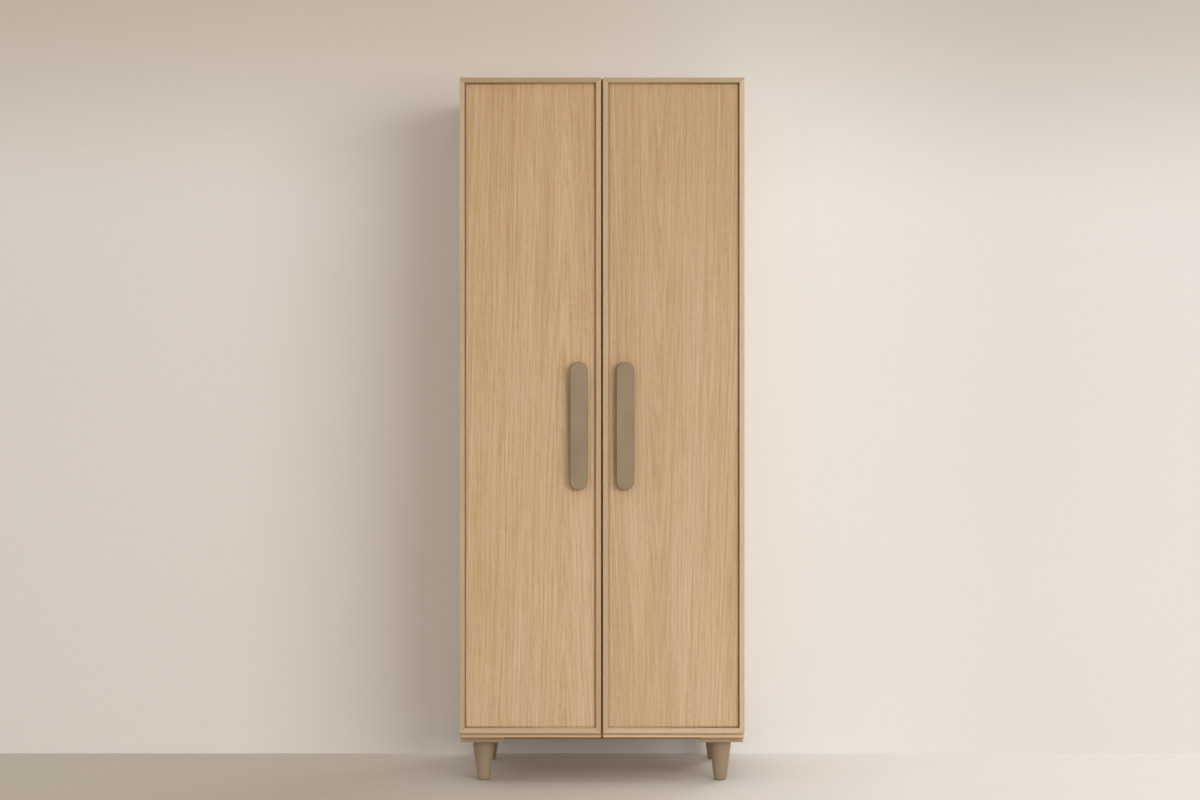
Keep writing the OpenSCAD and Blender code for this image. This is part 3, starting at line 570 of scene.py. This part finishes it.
def fitted(mesh, name, finish):
    """Makes the finished mesh the piece that is shown for a CAD part, on the same body: a door's
    fasteners are named after their door, and all others belong to the cabinet."""
    bmesh.ops.recalc_face_normals(mesh, faces=mesh.faces)
    data = bpy.data.meshes.new(f"turned_{name}")
    mesh.to_mesh(data)
    mesh.free()
    data.shade_smooth()
    data.set_sharp_from_angle(angle=math.radians(32))
    data.materials.append(finish)
    piece = bpy.data.objects.new(f"turned_{name}", data)
    scene.collection.objects.link(piece)
    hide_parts(name)
    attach(piece, {"left": "left_door", "right": "right_door"}.get(name.split("_")[0], "cabinet"))


beech = oak_finish("beech", upright, (0, 0, 0), light=paint(214, 182, 142),
                   dark=paint(196, 160, 120), pore=paint(170, 130, 92), rings=0.2, pores=0.3)
chamfer_share, flute_share, dowel_corners = 0.25, 0.07, 48
for dowel_set in ("dowels", "lip_dowels"):
    pegs = bmesh.new()
    for points in lone_pieces(dowel_set):
        place, radius, _, _, length = sized(points)
        chamfer = radius * chamfer_share
        end = turned(pegs, place, [(0, radius - chamfer), (chamfer, radius),
                                   (length - chamfer, radius), (length, radius - chamfer)],
                     dowel_corners, flute=radius * flute_share)
        pegs.faces.new(end)
    fitted(pegs, dowel_set, beech)


# Screws and handle bolts
# Cold-headed steel, zinc-plated: a low round head with a pressed cross, and a rolled thread that
# winds round the shank. The bolts and the plate screws have taller heads.
metal_grain, given, put_out = grouped("metal_grain", [("Place", "vector", None)],
                                      [("Cloud", "number"), ("Scratch", "number")])
place = given.outputs["Place"]
hand_out(metal_grain, put_out, Cloud=stretched_noise(metal_grain, place, (90, 90, 90), 4.0),
         Scratch=stretched_noise(metal_grain, place, (2500, 900, 260), 3.0, 0.7))


def metal_finish(name, pale, deep, smoothest, dullest, scratch_depth):
    """Plated metal, faintly clouded, with fine scratches in its gloss."""
    finish, tree, shader = new_finish(name, metallic=1.0)
    grain = put(tree, "ShaderNodeGroup", node_tree=metal_grain)
    tree.links.new(of_piece(tree, "Object"), grain.inputs["Place"])
    cloud, scratch = grain.outputs["Cloud"], grain.outputs["Scratch"]
    tone = mixed(tree, spread(tree, cloud, 0.3, 0.7), pale, deep)
    surfaced(tree, shader, tone, scratch, strength=0.3, depth=scratch_depth,
             roughness=spread(tree, scratch, 0.3, 0.7, smoothest, dullest))
    return finish


zinc = metal_finish("zinc_plate", paint(196, 197, 196), paint(170, 172, 173),
                    smoothest=0.3, dullest=0.46, scratch_depth=0.00008)
nickel = metal_finish("nickel_plate", paint(214, 211, 204), paint(198, 195, 188),
                      smoothest=0.14, dullest=0.26, scratch_depth=0.00003)
cross_corners = 12


def cross_loop(mesh, place, reach, half_width, depth):
    """The outline of a cross, as a closed row of twelve points at a depth below the head."""
    corners = [(reach, -half_width), (reach, half_width), (half_width, half_width)]
    loop = []
    for quarter in range(4):
        turn = Matrix.Rotation(math.radians(90 * quarter), 4, "Z")
        loop += [mesh.verts.new(place @ turn @ Vector((x, y, -depth))) for x, y in corners]
    return loop


def cross_walls(mesh, rim, foot):
    """The walls of a cross, from its rim down to its foot, and the flat of the foot."""
    for k in range(cross_corners):
        mesh.faces.new((rim[k - 1], rim[k], foot[k], foot[k - 1]))
    mesh.faces.new(foot)


def crossed(mesh, place, ring, reach, half_width, depth):
    """Closes the flat of a head round a cross that narrows downwards."""
    foot_reach, foot_width = 0.45, 0.7
    rim = cross_loop(mesh, place, reach, half_width, 0)
    foot = cross_loop(mesh, place, reach * foot_reach, half_width * foot_width, depth)
    edges = [mesh.edges.get((ring[k - 1], ring[k])) for k in range(len(ring))]
    edges += [mesh.edges.new((rim[k - 1], rim[k])) for k in range(cross_corners)]
    bmesh.ops.triangle_fill(mesh, edges=edges, use_beauty=True)
    cross_walls(mesh, rim, foot)


# A head's outline as shares of its height and its radius, then the bare neck below it, the bare end
# of the thread, and the radius of a needle point
head_curve = ((0, 0.55), (0.12, 0.78), (0.4, 0.94), (0.75, 1), (1, 1))
neck, thread_end, needle_tip = 0.0012, 0.0003, 0.0001

# A thread's pitch, and its root as a share of the shank, on a bolt and on a screw
bolt_pitch, screw_pitch = 0.0007, 0.0015
bolt_root, screw_root = 0.84, 0.72

# The cross as shares of the head's radius, and how deep it is pressed
cross_reach, cross_half_width = 0.47, 0.11
cross_below_head, deepest_cross = 0.0006, 0.002
for screw_set in ("bracket_screws", "hinge_plate_screws", "leg_plate_screws", "left_door_screws",
                  "right_door_screws", "left_handle_bolts", "right_handle_bolts"):
    screws = bmesh.new()
    for points in lone_pieces(screw_set):
        place, head, height, shank, length = sized(points)
        if screw_set.endswith("bolts"):
            pitch, root = bolt_pitch, shank * bolt_root
            tip = [(length - 0.0004, root), (length, root * 0.8)]
        else:
            pitch, root = screw_pitch, shank * screw_root
            tip = [(length - shank * 2, root), (length, needle_tip)]
        outline = [(height * down, head * out) for down, out in head_curve]
        outline += [(height, shank), (height + neck, root), *tip]
        thread = (height + neck, length - thread_end, pitch, shank - root)
        flat = turned(screws, place, outline, thread=thread)
        crossed(screws, place, flat, reach=head * cross_reach, half_width=head * cross_half_width,
                depth=min(height + cross_below_head, deepest_cross))
    fitted(screws, screw_set, zinc)


# Back nails
# Thin bright wire nails with flat heads, a few grip rings under the head, and a ground point. They
# hold the back panels to the rear edges of the cabinet.
grip_start, grip_pitch, grip_depth, grip_rows = 0.0008, 0.0006, 0.00015, 7
point_length, nail_corners = 0.0035, 16
nails = bmesh.new()
for points in lone_pieces("back_nails"):
    place, head, height, shank, length = sized(points)
    grip = [(height + grip_start + grip_pitch * n, shank - (grip_depth if n % 2 else 0))
            for n in range(grip_rows)]
    crown = turned(nails, place, [(0, head * 0.9), (height * 0.3, head), (height * 0.75, head),
                                  (height, shank * 1.15), *grip, (length - point_length, shank),
                                  (length, needle_tip)], nail_corners)
    nails.faces.new(crown)
fitted(nails, "back_nails", zinc)


# Cams and cam bolts
# Cast zinc drums with a cross in the open end, and a steel bolt through each: its ball head sits
# in the drum, and its thread in the top or the bottom.
near_right_side = 0.2
drum_piece = bpy.data.objects.new("drums", nodes["cam_locks"].data.copy())
crosses = bmesh.new()
for points in lone_pieces("cam_locks"):
    # The drums open into the bays: to the left in the right side panel, and else to the right
    middle_x = (min(p.x for p in points) + max(p.x for p in points)) / 2
    place, radius, *_ = sized(points, head_up=middle_x < near_right_side)
    rim = cross_loop(crosses, place, radius * 0.56, radius * 0.15, depth=-0.0002)
    foot = cross_loop(crosses, place, radius * 0.42, radius * 0.11, depth=0.003)
    cross_walls(crosses, rim, foot)
    crosses.faces.new(rim)
bmesh.ops.recalc_face_normals(crosses, faces=crosses.faces)
cross_data = bpy.data.meshes.new("crosses")
crosses.to_mesh(cross_data)
crosses.free()
cross_piece = bpy.data.objects.new("crosses", cross_data)
for helper in (drum_piece, cross_piece):
    scene.collection.objects.link(helper)
drum_piece.modifiers.new("one_skin", "WELD").merge_threshold = same_point
pressed = drum_piece.modifiers.new("pressed", "BOOLEAN")
pressed.object, pressed.operation, pressed.solver = cross_piece, "DIFFERENCE", "EXACT"
cut_drums = bmesh.new()
cut_drums.from_object(drum_piece, bpy.context.evaluated_depsgraph_get())
for helper in (drum_piece, cross_piece):
    bpy.data.objects.remove(helper)
fitted(cut_drums, "cam_locks", zinc)

# The bolts' ball heads point to the middle height of the cabinet, away from the top and the bottom
cam_bolt_pitch, half_height = 0.0018, 1.0
cam_bolts = bmesh.new()
for points in lone_pieces("cam_bolts"):
    middle_z = (min(p.z for p in points) + max(p.z for p in points)) / 2
    place, radius, _, _, length = sized(points, head_up=middle_z < half_height)
    root = radius * 0.74
    ball = [(0, radius * 0.5), (0.0008, radius * 0.9), (0.002, radius), (0.0034, radius * 0.85)]
    waist = [(0.0044, radius * 0.55), (0.0080, radius * 0.55)]
    rod = [(0.0084, radius), (length - 0.0130, radius), (length - 0.0125, radius)]
    screwed = [(length - 0.0120, root), (length - 0.003, root), (length, 0.0005)]
    crown = turned(cam_bolts, place, ball + waist + rod + screwed,
                   thread=(length - 0.0120, length - thread_end, cam_bolt_pitch, radius * 0.26))
    cam_bolts.faces.new(crown)
fitted(cam_bolts, "cam_bolts", zinc)


# Wall brackets, shelf pins and strike plates
# Small pieces of plated steel sheet and rod, with their rims just broken. The brackets are screwed
# under the top, the pins carry the loose shelves, and the strike plates meet the catches.
sheet_ease, sheet_shortest = 0.0003, 0.0012
for fitting in ("wall_brackets", "shelf_pins", "left_strike_plate", "right_strike_plate"):
    dress(fitting, zinc, sheet_ease, sheet_shortest)


# Back panels
# Two thin fibreboards nailed on from behind: the inner face is printed to match the oak, the rear
# is bare pressed fibre, warm brown and finely mottled.
def back_finish(name, shift):
    """Printed oak to the front, bare fibre on the rear and on the edges."""
    finish = oak_finish(name, upright, shift, heart=0.2, rise=0.03, pores=0.2, **cabinet_tones)
    tree = finish.node_tree
    base = tree.nodes["Principled BSDF"].inputs["Base Color"]
    place = of_piece(tree, "Object")
    facing = along(tree, of_piece(tree, "Normal"), "Y")
    bare = worked(tree, "GREATER_THAN", facing, front_facing)
    fibres = stretched_noise(tree, place, (620, 900, 420), 4.0, 0.75)
    clouds = stretched_noise(tree, place, (30, 30, 22), 4.0)
    fibre_tone = worked(tree, "ADD", spread(tree, fibres, 0.25, 0.75, 0.0, 0.84),
                        spread(tree, clouds, 0.3, 0.7, 0.0, 0.16), clamp=True)
    fibre = mixed(tree, fibre_tone, paint(190, 158, 122), paint(156, 122, 88))
    tree.links.new(mixed(tree, bare, base.links[0].from_socket, fibre), base)
    return finish


for hand, shift in (("left", (0.3, 0.0, 0.2)), ("right", (1.3, 0.0, 1.2))):
    dress(f"{hand}_back_panel", back_finish(f"{hand}_back_board", shift), round_by=0.0003)


# Hanging rail and its brackets
# Nickel-plated steel tube under the hat shelf, held at both ends in cast rings that are screwed to
# the side panel and the partition.
dress("hanging_rail", nickel, round_by=0)
dress("rail_brackets", nickel, round_by=0.0005, shortest=0.0012)


# Magnetic catches
# Moulded pale plastic housings with a magnet, fixed under the top panel, one for each door. They
# hold the door closed by its strike plate.
def plastic_finish(name, pale, deep):
    """Moulded plastic, faintly uneven in tone and gloss, with a very fine grit."""
    finish, tree, shader = new_finish(name, specular_ior_level=0.4)
    place = of_piece(tree, "Object")
    cloud = stretched_noise(tree, place, (60, 60, 60), 3.0)
    grit = stretched_noise(tree, place, (2600, 2600, 2600))
    surfaced(tree, shader, mixed(tree, cloud, pale, deep), grit, strength=0.25, depth=0.0001,
             roughness=spread(tree, cloud, 0.3, 0.7, 0.38, 0.52))
    return finish


pale_plastic = plastic_finish("pale_plastic", paint(226, 222, 212), paint(214, 209, 198))
dress("magnetic_catches", pale_plastic, round_by=0.0008, shortest=0.0012)


# Hinges
# Pressed and plated steel: a mounting plate on the cabinet, an arm, a cup let into the door and
# the pin that the arm turns on.
for hinge_part in ("hinge_plates", "hinge_arms", "left_hinge_cups", "right_hinge_cups"):
    dress(hinge_part, nickel, sheet_ease, sheet_shortest)
for hinge_pins in ("left_hinge_pins", "right_hinge_pins"):
    dress(hinge_pins, nickel, round_by=0)


# Taupe legs with their square plates
# Turned and lacquered wood: each leg tapers to a round foot with a hard glide, and is bolted to a
# square plate that is screwed under a corner of the cabinet.
def lacquer_finish(name, pale, deep):
    """Sprayed satin lacquer, with a faint orange peel and a little dust in it."""
    finish, tree, shader = new_finish(name, specular_ior_level=0.45, coat_weight=0.12,
                                      coat_roughness=0.3)
    place = of_piece(tree, "Object")
    cloud = stretched_noise(tree, place, (14, 14, 9), 3.0)
    peel = stretched_noise(tree, place, (620, 620, 620))
    dust = spread(tree, stretched_noise(tree, place, (1800, 1800, 1800), 1.0), 0.66, 0.76)
    tone = mixed(tree, spread(tree, cloud, 0.3, 0.7), pale, deep)
    surfaced(tree, shader, tone, plus(tree, peel, dust), strength=0.2, depth=0.0001,
             roughness=plus(tree, spread(tree, cloud, 0.3, 0.7, 0.40, 0.48),
                            times(tree, dust, 0.12)))
    return finish


leg_taupe = lacquer_finish("leg_taupe", paint(156, 136, 110), paint(148, 128, 102))
# The plates have the legs' lacquer made paler with painted light, against the shade of the lips
# above them
plate_taupe_painted_light = lacquer_finish("plate_taupe_painted_light", paint(168, 149, 122), paint(160, 141, 114))
lacquer_ease, lacquer_steps = 0.0012, 3
for leg in ("front_left_leg", "front_right_leg", "rear_left_leg", "rear_right_leg"):
    dress(leg, leg_taupe, lacquer_ease, shortest=0.0006, steps=lacquer_steps)
dress("leg_plates", plate_taupe_painted_light, lacquer_ease, steps=lacquer_steps)
glide_plastic = plastic_finish("glide_plastic", paint(140, 122, 97), paint(132, 115, 91))
dress("leg_glides", glide_plastic, round_by=0.0008, shortest=0.0006)

# A threaded stud holds each leg to its plate
stud_chamfer, stud_pitch = 0.0008, 0.00125
studs = bmesh.new()
for points in lone_pieces("leg_bolts"):
    place, radius, _, _, length = sized(points)
    root = radius * 0.88
    crown = turned(studs, place, [(0, radius * 0.75), (stud_chamfer, root),
                                  (length - stud_chamfer, root), (length, radius * 0.75)],
                   thread=(stud_chamfer, length - stud_chamfer, stud_pitch, radius * 0.12))
    studs.faces.new(crown)
fitted(studs, "leg_bolts", zinc)


# Bottom lips
# Two strips of solid oak under the doors, dowelled to the front edge of the bottom panel and
# rounded at their front corners, with their gap in line with the gap between the doors.
def strip_of_oak(name, tone, run, number, round_by=0.0006):
    """A strip cut from solid oak: tone is its light colour, which also holds painted light and
    shade, and its dark one is a little deeper. Each strip has its number, so that no two are cut
    from the same place."""
    deeper = [c - d for c, d in zip(tone, (14, 15, 16))]
    dress(name, oak_finish(f"{name}_oak", run, (0.3 * number, 0.8, 0.7 * number), heart=0.9,
                           rise=0.02, rings=0.3, streaks=0.4, light=paint(*tone),
                           dark=paint(*deeper)),
          round_by, shortest=0.002)


# The lips differ in tone partly as solid oak does, and partly by painted light: the right one is
# lighter
strip_of_oak("left_bottom_lip", (199, 171, 138), lying, 1, round_by=0.0008)
strip_of_oak("right_bottom_lip", (209, 180, 146), lying, 2, round_by=0.0008)


# Doors
# An oak-veneered panel with a shadow groove round its face. Four mitred strips of solid oak stand
# proud round the edge, outside the groove.
groove_levels = (-0.2470, -0.2444)
palest_and_deepest_at = (0.05, 0.37)
# The floor of the shadow groove is darkened with painted shade
groove_shade_tone = paint(190, 184, 176)


def painted_groove_shade(finish):
    """Painted shade on the floor of the shadow groove, deeper towards the hinge side."""
    tree = finish.node_tree
    groove_floor = front_between(finish, "Y", *groove_levels)
    from_middle = worked(tree, "ABSOLUTE", along(tree, of_piece(tree, "Object"), "X"))
    groove_shade_share = spread(tree, from_middle, *palest_and_deepest_at, to_low=0.15)
    return times(tree, groove_floor, groove_shade_share)


# The fade paints shade towards the top of each door and light towards the bottom
left_door_oak = oak_finish("left_door_oak", upright, (0, 0.3, 0.2), heart=-0.11, rise=0.04,
                           light=paint(207, 177, 142), dark=paint(187, 153, 108),
                           fade=0.11, middle=1.2)
right_door_oak = oak_finish("right_door_oak", upright, (0, 2.3, 1.6), heart=0.16, rise=-0.04,
                            light=paint(203, 174, 139), dark=paint(183, 150, 106),
                            fade=0.11, middle=2.6)
# Each door panel gets the painted shade in its groove
for hand, door_oak in (("left", left_door_oak), ("right", right_door_oak)):
    dress(f"{hand}_door_panel", laid_over(door_oak, painted_groove_shade(door_oak), groove_shade_tone))
# The strips differ in tone partly as solid oak does, and partly by painted light and shade: the top
# rails darker, the bottom rails lighter, the inner stiles darker beside the handles, the right
# outer stile lightest
strip_of_oak("left_outer_stile", (198, 171, 139), upright, 3)
strip_of_oak("left_inner_stile", (196, 167, 130), upright, 4)
strip_of_oak("right_inner_stile", (198, 171, 138), upright, 5)
strip_of_oak("right_outer_stile", (207, 182, 152), upright, 6)
strip_of_oak("left_top_rail", (179, 152, 117), lying, 7)
strip_of_oak("right_top_rail", (187, 162, 126), lying, 8)
strip_of_oak("left_bottom_rail", (204, 177, 143), lying, 9)
strip_of_oak("right_bottom_rail", (209, 185, 154), lying, 10)


# Handles
# Pill-shaped plates with a chamfered rim, lacquered taupe like the legs. Each stands on two round
# posts and is bolted through the door.
handle_tones = (paint(144, 125, 96), paint(136, 117, 89))
handle_taupe = lacquer_finish("handle_taupe", *handle_tones)
plate_lacquer = lacquer_finish("plate_lacquer", *handle_tones)

# Painted shade: the chamfered rim, which leans back from the flat front, is a little deeper in tone
flat_front, end_of_rim = -0.95, -0.3
rim_tree = plate_lacquer.node_tree
lean = along(rim_tree, of_piece(rim_tree, "Normal"), "Y")
painted_rim_shade = times(rim_tree, worked(rim_tree, "GREATER_THAN", lean, flat_front),
               worked(rim_tree, "LESS_THAN", lean, end_of_rim))
laid_over(plate_lacquer, painted_rim_shade, paint(216, 208, 198))

for hand in ("left", "right"):
    dress(f"{hand}_handle_plate", plate_lacquer, round_by=0.0018, shortest=0.0006, steps=1)
    dress(f"{hand}_handle_posts", handle_taupe, round_by=0.0004, shortest=0.0006)


# Door bumpers
# Small soft clear-white buttons stuck on the inner face of each door, near its free edge. They keep
# it from knocking on the cabinet.
for bumpers in ("left_door_bumpers", "right_door_bumpers"):
    dress(bumpers, pale_plastic, round_by=0)
